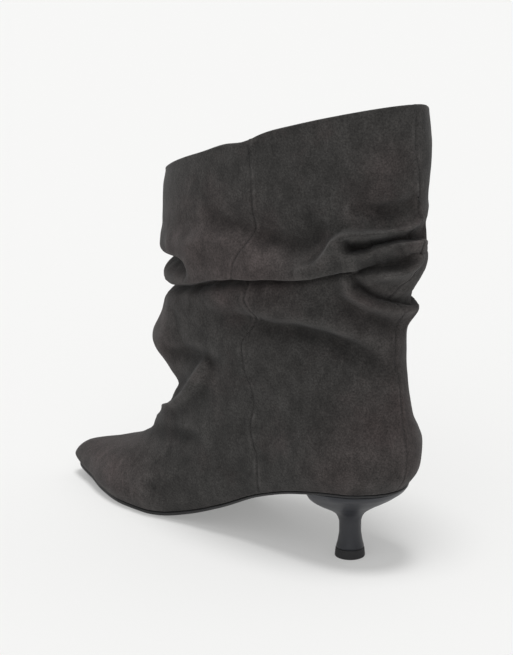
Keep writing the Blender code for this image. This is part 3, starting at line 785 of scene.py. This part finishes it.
def grain_group():
    """Leather or rubber grain: tone, roughness and height."""
    if "Grain" in bpy.data.node_groups:
        return bpy.data.node_groups["Grain"]
    group, given, result = new_group("Grain", (("Scale", "Float", 700.0), ("Low", "Float", 0.4),
                                               ("High", "Float", 0.6)))
    vector = given["Vector"]
    cells = group.nodes.new("ShaderNodeTexVoronoi")
    cells.feature = "DISTANCE_TO_EDGE"
    group.links.new(vector, cells.inputs["Vector"])
    group.links.new(given["Scale"], cells.inputs["Scale"])
    broad = link_noise(group, vector, 45.0, 4.0, 0.6)
    fine = link_noise(group, vector, 1600.0, 2.0, 0.6)
    tone = link_math(group, "MULTIPLY", link_range(group, broad, 0.3, 0.7, 0.85, 1.15),
                     link_range(group, fine, 0.3, 0.7, 0.92, 1.08))
    group.links.new(link_tone(group, given["Colour"], tone), result["Colour"])
    group.links.new(link_range(group, broad, 0.3, 0.7, given["Low"], given["High"]), result["Roughness"])
    edge = link_range(group, cells.outputs["Distance"], 0.0, 0.18, 0.0, 1.0)
    group.links.new(link_sum(group, edge, fine), result["Height"])
    return group


def surface_material(name, group, colour, strength, distance):
    """A material with a surface group on Object coordinates, and the group's node and the shader."""
    material = bpy.data.materials.new(name)
    material.use_nodes = True
    tree = material.node_tree
    shader = tree.nodes["Principled BSDF"]
    node = tree.nodes.new("ShaderNodeGroup")
    node.node_tree = group
    place = tree.nodes.new("ShaderNodeTexCoord")
    bump = tree.nodes.new("ShaderNodeBump")
    bump.inputs["Strength"].default_value = strength
    bump.inputs["Distance"].default_value = distance
    for start, end in ((place.outputs["Object"], node.inputs["Vector"]),
                       (node.outputs["Colour"], shader.inputs["Base Color"]),
                       (node.outputs["Roughness"], shader.inputs["Roughness"]),
                       (node.outputs["Height"], bump.inputs["Height"]),
                       (bump.outputs[0], shader.inputs["Normal"])):
        tree.links.new(start, end)
    node.inputs["Colour"].default_value = tuple(colour) + (1.0,)
    return material, node, shader


def suede_material(finish):
    """Suede of the upper, with painted highlight on the ridges and painted shade in the creases."""
    material, node, shader = surface_material("boot_suede", nap_group(), finish.suede, 0.55, 0.0006)
    node.inputs["Patch"].default_value = tuple(finish.rust) + (1.0,)
    # The fold attribute carries the painted shade and highlight; warm carries the brownish patches.
    for name in ("Fold", "Warm"):
        read = material.node_tree.nodes.new("ShaderNodeAttribute")
        read.attribute_name = name.lower()
        material.node_tree.links.new(read.outputs["Fac"], node.inputs[name])
    shader.inputs["Sheen Weight"].default_value = 0.08
    shader.inputs["Sheen Roughness"].default_value = 0.45
    shader.inputs["Specular IOR Level"].default_value = 0.15
    return material


def leather_material(name, colour, scale, low, high, strength):
    """Leather, lacquer or rubber with its grain, and its shader."""
    material, node, shader = surface_material(name, grain_group(), colour, strength, 0.0003)
    node.inputs["Scale"].default_value = scale
    node.inputs["Low"].default_value = low
    node.inputs["High"].default_value = high
    return material, shader


def upper_surface(shape, quick):
    """Grid of the outer surface with its folds, seams and fine puckers, and the fold value that paints
    shade into its creases and highlight onto its ridges.
    """
    count = shape.around // 2 if quick else shape.around
    rows = shape.rows // 2 if quick else shape.rows
    turns = column_turns(count)
    levels = row_levels(rows)
    straight = np.tile(turns * 2 * np.pi, (rows, 1))
    smooth = base_surface(shape, straight, levels)
    angle = straight.copy()
    columns = {}
    for name, place, table in (("side", SIDE_PLACE, SIDE_SEAM), ("back", BACK_PLACE, BACK_SEAM),
                               ("far", FAR_PLACE, None)):
        column = int(np.argmin(np.abs(turns - place)))
        columns[name] = column
        if table:
            wander = seam_turns(table, smooth[:, column, 2], shape) - turns[column]
            pull = np.exp(-((turns - turns[column]) / SEAM_PULL) ** 2)
            angle += wander[:, None] * pull[None, :] * 2 * np.pi
    smooth = base_surface(shape, angle, levels)
    folded, out = apply_folds(shape, smooth, turns)
    for turn, reach, drop in COLLAR_WAVE:
        near = np.clip((levels - WAVE_START) / (1 - WAVE_START), 0, 1)[:, None] ** 2
        folded[..., 2] -= drop * shape.shaft_height * near * np.exp(-((turns - turn) / reach) ** 2)[None, :]
    normal = surface_normals(folded)
    around = smooth * np.array([1.0, 1.0, 1.7])
    slouch = np.clip((levels - SLOUCH_FROM) / SLOUCH_FADE, 0, 1)
    slouch *= np.clip((SLOUCH_TO - levels) / SLOUCH_FADE, 0, 1)
    soft = RIPPLE + SLOUCH_RIPPLE * slouch[:, None]
    relief = soft * (value_noise(around, RIPPLE_CELL, 3) + 0.5 * value_noise(around, SMALL_CELL, 5))
    relief += WAVE * value_noise(smooth, WAVE_CELL, 9)
    pucker = 0.55 + 0.9 * value_noise(smooth * np.array([0.6, 0.6, 1.0]), PUCKER_CELL, 21)
    seam = np.zeros(smooth.shape[:2])
    welt = np.zeros(smooth.shape[:2])
    for name, depth in (("side", 1.0), ("back", 0.8), ("far", 1.0)):
        column = columns[name]
        gap = np.linalg.norm(smooth - smooth[:, column:column + 1], axis=2)
        relief -= GROOVE_DEPTH * depth * np.exp(-(gap / GROOVE_WIDTH) ** 2)
        relief += WELT_HEIGHT * depth * np.exp(-((gap - WELT_PLACE) / WELT_WIDTH) ** 2) * pucker
        seam = np.maximum(seam, depth * np.exp(-(gap / DARK_WIDTH) ** 2) * pucker)
        welt = np.maximum(welt, depth * np.exp(-((gap - LIGHT_PLACE) / LIGHT_WIDTH) ** 2) * pucker)
    edge = np.clip(levels / 0.012, 0, 1)[:, None] * np.clip((1 - levels) / 0.01, 0, 1)[:, None]
    relief = relief * edge
    grid = folded + normal * relief[..., None]
    # Painted shade and highlight: hollows against a smoothed copy of the surface darken the suede and bumps
    # lighten it.
    even = grid
    for _ in range(10):
        beside = (np.roll(even, 1, 1) + np.roll(even, -1, 1)) / 2
        even = even.copy()
        even[1:-1] = (even[:-2] + even[2:] + 2 * beside[1:-1]) / 4
    edges = np.sum((grid - even) * surface_normals(even), axis=2) / PAINTED_SHADE_EDGE_HEIGHT
    # Fold value for the suede's tone: painted shade and highlight from the folds' push and the edges, with
    # the lighter welts and the seams' own dark line.
    fold = 0.45 * out + np.clip(edges, -1, 1) * 0.8 + 0.75 * welt - 0.15 * seam
    return grid, fold, columns


def add_upper(context):
    """Suede upper with a turned-in collar edge, and its lining."""
    shape = context.scene.boot_shape
    finish = context.scene.boot_finish
    grid, fold, columns = upper_surface(shape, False)
    rows, count = grid.shape[:2]
    grid[0, :, 2] += shape.gap
    normal = surface_normals(grid)
    inner_normal = normal
    for _ in range(6):
        inner_normal = (inner_normal + np.roll(inner_normal, 1, 1) + np.roll(inner_normal, -1, 1)) / 3
        inner_normal[1:-1] = (inner_normal[:-2] + inner_normal[1:-1] + inner_normal[2:]) / 3
    inner_normal /= np.linalg.norm(inner_normal, axis=2, keepdims=True)
    top = grid[-1]
    rise = top - grid[-3]
    rise /= np.linalg.norm(rise, axis=1, keepdims=True)
    wall = shape.wall
    rounds = []
    for turn in (30, 60, 90, 120, 150):
        a = math.radians(turn)
        rounds.append(top - normal[-1] * wall / 2 * (1 - math.cos(a)) + rise * wall / 2 * math.sin(a))
    inside = []
    for row in range(rows - 1, rows - 1 - TURNED_ROWS, -1):
        inside.append(grid[row] - inner_normal[row] * wall)
    under = grid[0] - normal[0] * wall * 0.95
    under[:, 2] = grid[0, :, 2]
    sheet = [under] + list(grid) + rounds + inside
    points = np.concatenate(sheet)
    faces = []
    for row in range(len(sheet) - 1):
        faces += ring_faces(row * count, (row + 1) * count, count)
    suede = suede_material(finish)
    upper = add_object("suede_upper", points, faces, suede)
    # Painted shade and highlight for the suede's tone, stored as the fold attribute.
    keep = np.concatenate([fold[:1], fold, np.zeros((len(sheet) - rows - 1, count))])
    keep_attribute(upper, "fold", keep)
    warm = np.zeros(keep.shape)
    flat = points.reshape(len(sheet), count, 3)
    for x, y, z, reach, amount in WARM_PATCHES:
        gap = np.linalg.norm(flat / shape.shaft_height - np.array([x, y, z]), axis=2)
        warm += amount * np.exp(-(gap / reach) ** 2)
    keep_attribute(upper, "warm", warm)
    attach(upper, "root")
    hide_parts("upper")
    lining_material, _ = leather_material("boot_lining", finish.lining, 900.0, 0.45, 0.62, 0.25)
    start = list(range(2, rows - LINING_END - 2, LINING_STEP)) + [rows - LINING_END]
    inset = wall + shape.gap / 2
    lining_rows = [grid[row][::2] - inner_normal[row][::2] * inset for row in start]
    points = np.concatenate(lining_rows)
    faces = []
    half = len(lining_rows[0])
    for row in range(len(lining_rows) - 1):
        faces += [face[::-1] for face in ring_faces(row * half, (row + 1) * half, half)]
    lining = add_object("lining", points, faces, lining_material)
    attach(lining, "root")
    return grid, normal, columns


def stitch_tree():
    """Geometry Nodes that set short stitches along a line."""
    tree = bpy.data.node_groups.new("Seam stitches", "GeometryNodeTree")
    tree.interface.new_socket(name="Geometry", in_out="INPUT", socket_type="NodeSocketGeometry")
    for name, value in (("Pitch", 0.0026), ("Length", 0.0018), ("Thickness", 0.00026)):
        made = tree.interface.new_socket(name=name, in_out="INPUT", socket_type="NodeSocketFloat")
        made.default_value = value
    tree.interface.new_socket(name="Material", in_out="INPUT", socket_type="NodeSocketMaterial")
    tree.interface.new_socket(name="Geometry", in_out="OUTPUT", socket_type="NodeSocketGeometry")
    add = tree.nodes.new
    link = tree.links.new
    given = add("NodeGroupInput")
    result = add("NodeGroupOutput")
    curve = add("GeometryNodeMeshToCurve")
    link(given.outputs["Geometry"], curve.inputs["Mesh"])
    spread = add("GeometryNodeCurveToPoints")
    spread.mode = "LENGTH"
    link(curve.outputs[0], spread.inputs["Curve"])
    link(given.outputs["Pitch"], spread.inputs["Length"])
    thread = add("GeometryNodeMeshUVSphere")
    thread.inputs["Segments"].default_value = 6
    thread.inputs["Rings"].default_value = 5
    thread.inputs["Radius"].default_value = 0.5
    scale = add("ShaderNodeCombineXYZ")
    link(given.outputs["Thickness"], scale.inputs["X"])
    link(given.outputs["Thickness"], scale.inputs["Y"])
    link(given.outputs["Length"], scale.inputs["Z"])
    place = add("GeometryNodeInstanceOnPoints")
    link(spread.outputs["Points"], place.inputs["Points"])
    link(thread.outputs["Mesh"], place.inputs["Instance"])
    link(spread.outputs["Rotation"], place.inputs["Rotation"])
    link(scale.outputs[0], place.inputs["Scale"])
    realize = add("GeometryNodeRealizeInstances")
    link(place.outputs[0], realize.inputs[0])
    paint = add("GeometryNodeSetMaterial")
    link(realize.outputs[0], paint.inputs["Geometry"])
    link(given.outputs["Material"], paint.inputs["Material"])
    link(paint.outputs[0], result.inputs[0])
    return tree


def add_stitches(context, name, lines, material):
    """Stitches along some lines, as one plain mesh."""
    stitches = context.scene.boot_stitches
    points = np.concatenate(lines)
    edges = []
    start = 0
    for line in lines:
        edges += [(start + i, start + i + 1) for i in range(len(line) - 1)]
        start += len(line)
    mesh = bpy.data.meshes.new(name + "_lines")
    mesh.from_pydata(points.tolist(), edges, [])
    guide = bpy.data.objects.new(name + "_lines", mesh)
    context.scene.collection.objects.link(guide)
    tree = bpy.data.node_groups.get("Seam stitches") or stitch_tree()
    modifier = guide.modifiers.new("Stitches", "NODES")
    modifier.node_group = tree
    values = {"Pitch": stitches.pitch, "Length": stitches.length, "Thickness": stitches.thickness,
              "Material": material}
    for item in tree.interface.items_tree:
        if item.item_type == "SOCKET" and item.in_out == "INPUT" and item.name in values:
            modifier[item.identifier] = values[item.name]
    context.view_layer.update()
    shown = guide.evaluated_get(context.evaluated_depsgraph_get())
    made = bpy.data.meshes.new_from_object(shown)
    made.name = name
    guide.modifiers.clear()
    bpy.data.objects.remove(guide)
    made.polygons.foreach_set("use_smooth", [True] * len(made.polygons))
    if not made.materials:
        made.materials.append(material)
    piece = bpy.data.objects.new(name, made)
    context.scene.collection.objects.link(piece)
    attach(piece, "root")


def sole_ring(shape, inset, heel_inset, toe_inset, count):
    """Outline of a sole piece from above, set in by the named amounts."""
    angle = np.arange(count) * 2 * np.pi / count
    front_x = shape.heel_back - shape.foot_length + toe_inset
    back_x = shape.heel_back - heel_inset
    x = (front_x + back_x) / 2 - (back_x - front_x) / 2 * np.cos(angle)
    over = np.clip((shape.heel_back - x) / shape.foot_length, 0, 1)
    spread = np.arccos(np.clip(np.cos(angle), -1, 1))
    half = np.where(np.sin(angle) >= 0, side_width(shape, spread, 1), side_width(shape, spread, 2))
    half = np.maximum(half - inset, 0.3 * half)
    return x, -np.sin(angle) * half + swing(shape, over), over


def add_sole(context):
    """Outsole with rounded edges, and the covered insole."""
    shape = context.scene.boot_shape
    finish = context.scene.boot_finish
    rings = []
    for inset, level in SOLE_EDGE:
        x, y, over = sole_ring(shape, inset, inset, inset, SOLE_AROUND)
        top = sole_height(shape, over)
        thin = shape.heel_thin + (1 - shape.heel_thin) * np.clip((over - 0.30) / 0.25, 0, 1)
        rings.append(np.stack([x, y, top - shape.sole_thick * thin * (1 - level)], 1))
    leather, _ = leather_material("boot_sole", finish.sole, 500.0, 0.38, 0.60, 0.30)
    sole = add_body("sole", rings, leather)
    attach(sole, "root")
    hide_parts("outsole")
    inset = shape.wall + 2 * shape.gap + shape.insole_room
    rings = []
    for extra, level in INSOLE_EDGE:
        x, y, over = sole_ring(shape, inset + extra, inset + extra, shape.insole_toe + extra, INSOLE_AROUND)
        top = sole_height(shape, over) + shape.gap + shape.insole_thick * level
        rings.append(np.stack([x, y, top], 1))
    cover, _ = leather_material("boot_insole", finish.lining, 700.0, 0.40, 0.58, 0.30)
    insole = add_body("insole_board", rings, cover)
    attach(insole, "root")
    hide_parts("insole")


def heel_ring(shape, row):
    """Points of one ring of the heel, squarer towards its breast."""
    height, centre, length, width, square = row
    angle = np.arange(HEEL_AROUND) * 2 * np.pi / HEEL_AROUND
    power = np.where(np.cos(angle) > 0, 2.0 / square, 1.0)
    x = centre * shape.stem - length * shape.stem * np.sign(np.cos(angle)) * np.abs(np.cos(angle)) ** power
    y = -width * shape.stem * np.sign(np.sin(angle)) * np.abs(np.sin(angle)) ** power
    over = np.clip((shape.heel_back - x) / shape.foot_length, 0, 1)
    seat = side_width(shape, np.arccos(2 * over - 1), 1) * np.sqrt(np.clip(1 - (2 * over - 1) ** 2, 0, 1))
    y = np.sign(y) * np.minimum(np.abs(y), np.maximum(seat - shape.seat_step, 0))
    top = sole_height(shape, over) - shape.sole_thick * shape.heel_thin - shape.gap
    return np.stack([x, y, height * top], 1)


def add_heel(context):
    """Lacquered heel and its rubber top piece."""
    shape = context.scene.boot_shape
    finish = context.scene.boot_finish
    known = np.array([row[1] for row in HEEL_RINGS])
    fine = np.linspace(known[0], known[-1], HEEL_ROWS)
    table = np.array([row[1:] for row in HEEL_RINGS])
    values = np.stack([smooth_curve(known, table[:, c], fine) for c in range(5)], 1)
    rings = [heel_ring(shape, row) for row in values]
    rings[0][:, 2] = shape.lift_height + shape.gap
    lacquer, shader = leather_material("boot_heel_lacquer", finish.lacquer, 260.0, 0.42, 0.52, 0.04)
    shader.inputs["Coat Weight"].default_value = 0.22
    shader.inputs["Specular IOR Level"].default_value = 0.40
    shader.inputs["Coat Roughness"].default_value = 0.38
    heel = add_body("heel_block", rings, lacquer)
    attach(heel, "root")
    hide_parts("heel")
    rings = []
    angle = np.arange(HEEL_AROUND) * 2 * np.pi / HEEL_AROUND
    for height, reach in LIFT_RINGS:
        radius = reach * shape.lift_radius
        level = np.full(HEEL_AROUND, height * shape.lift_height)
        rings.append(np.stack([-radius * np.cos(angle), -radius * np.sin(angle), level], 1))
    rubber, _ = leather_material("boot_rubber", finish.rubber, 1400.0, 0.60, 0.80, 0.5)
    lift = add_body("rubber_lift", rings, rubber)
    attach(lift, "root")
    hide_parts("top_piece")


def add_stage(context):
    """Pale floor, soft light and the camera."""
    stage = context.scene.boot_stage
    half = stage.floor_size / 2
    material = bpy.data.materials.new("studio_floor")
    material.use_nodes = True
    shader = material.node_tree.nodes["Principled BSDF"]
    shader.inputs["Base Color"].default_value = (0.60, 0.60, 0.596, 1)
    shader.inputs["Emission Color"].default_value = (1.0, 1.0, 0.985, 1)
    shader.inputs["Emission Strength"].default_value = 0.275
    shader.inputs["Roughness"].default_value = 0.9
    shader.inputs["Specular IOR Level"].default_value = 0.0
    floor = add_object("floor", [(-half, -half, 0), (half, -half, 0), (half, half, 0), (-half, half, 0)],
                       [(0, 1, 2, 3)], material)
    world = bpy.data.worlds.new("studio")
    world.use_nodes = True
    world.node_tree.nodes["Background"].inputs["Color"].default_value = (1, 1, 1, 1)
    world.node_tree.nodes["Background"].inputs["Strength"].default_value = stage.sky
    context.scene.world = world
    for name, angle, aim in LIGHTS:
        lamp = bpy.data.lights.new(name, "SUN")
        lamp.energy = getattr(stage, name)
        lamp.angle = math.radians(angle)
        item = bpy.data.objects.new(name, lamp)
        item.rotation_mode = "QUATERNION"
        item.rotation_quaternion = Vector(aim).to_track_quat("-Z", "Y")
        item.location = (0, 0, 2)
        context.scene.collection.objects.link(item)
    azimuth = math.radians(CAMERA_AZIMUTH)
    elevation = math.radians(CAMERA_ELEVATION)
    back = Vector((math.sin(azimuth) * math.cos(elevation), -math.cos(azimuth) * math.cos(elevation),
                   math.sin(elevation)))
    camera = bpy.data.cameras.new("camera")
    camera.lens = stage.lens
    camera.sensor_width = 36.0
    camera.clip_end = 60.0
    item = bpy.data.objects.new("camera", camera)
    item.rotation_mode = "QUATERNION"
    item.rotation_quaternion = (-back).to_track_quat("-Z", "Y")
    item.location = Vector(CAMERA_AIM) + back * stage.distance
    context.scene.collection.objects.link(item)
    context.scene.camera = item
    context.scene.view_settings.view_transform = "Standard"
    context.scene.view_settings.look = "None"


class BOOT_OT_upper(bpy.types.Operator):
    """Build the suede upper, its lining and its seams' stitches"""
    bl_idname = "boot.upper"
    bl_label = "Upper, lining and stitches"

    def execute(self, context):
        grid, normal, columns = add_upper(context)
        finish = context.scene.boot_finish
        thread, _ = leather_material("boot_thread", finish.thread, 2500.0, 0.7, 0.9, 0.3)
        lines = []
        for name in ("side", "far", "back"):
            column = columns[name]
            for shift in (-1, 1):
                near = grid[4:-3, (column + shift) % grid.shape[1]]
                lines.append(near + normal[4:-3, column] * STITCH_LIFT)
        add_stitches(context, "seam_stitches", lines, thread)
        return {"FINISHED"}


class BOOT_OT_sole(bpy.types.Operator):
    """Build the outsole and the insole"""
    bl_idname = "boot.sole"
    bl_label = "Outsole and insole"

    def execute(self, context):
        add_sole(context)
        return {"FINISHED"}


class BOOT_OT_heel(bpy.types.Operator):
    """Build the heel and its top piece"""
    bl_idname = "boot.heel"
    bl_label = "Heel and top piece"

    def execute(self, context):
        add_heel(context)
        return {"FINISHED"}


class BOOT_OT_stage(bpy.types.Operator):
    """Build the floor, the lights and the camera"""
    bl_idname = "boot.stage"
    bl_label = "Stage"

    def execute(self, context):
        add_stage(context)
        return {"FINISHED"}


class BOOT_PT_panel(bpy.types.Panel):
    """Lists the boot's operators"""
    bl_idname = "BOOT_PT_panel"
    bl_label = "Slouch Boot"
    bl_space_type = "VIEW_3D"
    bl_region_type = "UI"
    bl_category = "Boot"

    def draw(self, context):
        for operator in OPERATORS:
            self.layout.operator(operator.bl_idname)
        for group in (context.scene.boot_shape, context.scene.boot_finish, context.scene.boot_stitches,
                      context.scene.boot_stage):
            box = self.layout.box()
            for name in group.bl_rna.properties.keys():
                if name not in ("rna_type", "name"):
                    box.prop(group, name)


OPERATORS = (BOOT_OT_upper, BOOT_OT_sole, BOOT_OT_heel, BOOT_OT_stage)
GROUPS = (("boot_shape", BootShape), ("boot_finish", BootFinish), ("boot_stitches", BootStitches),
          ("boot_stage", BootStage))


def register():
    """Register the classes and hang the settings on the scene."""
    for name, group in GROUPS:
        bpy.utils.register_class(group)
        setattr(bpy.types.Scene, name, PointerProperty(type=group))
    for item in OPERATORS + (BOOT_PT_panel,):
        bpy.utils.register_class(item)


def unregister():
    """Take the classes and settings off again."""
    for item in reversed(OPERATORS + (BOOT_PT_panel,)):
        bpy.utils.unregister_class(item)
    for name, group in reversed(GROUPS):
        delattr(bpy.types.Scene, name)
        bpy.utils.unregister_class(group)


def main():
    """Build the boot."""
    register()
    bpy.ops.boot.upper()
    bpy.ops.boot.sole()
    bpy.ops.boot.heel()
    bpy.ops.boot.stage()


if __name__ == "__main__":
    main()
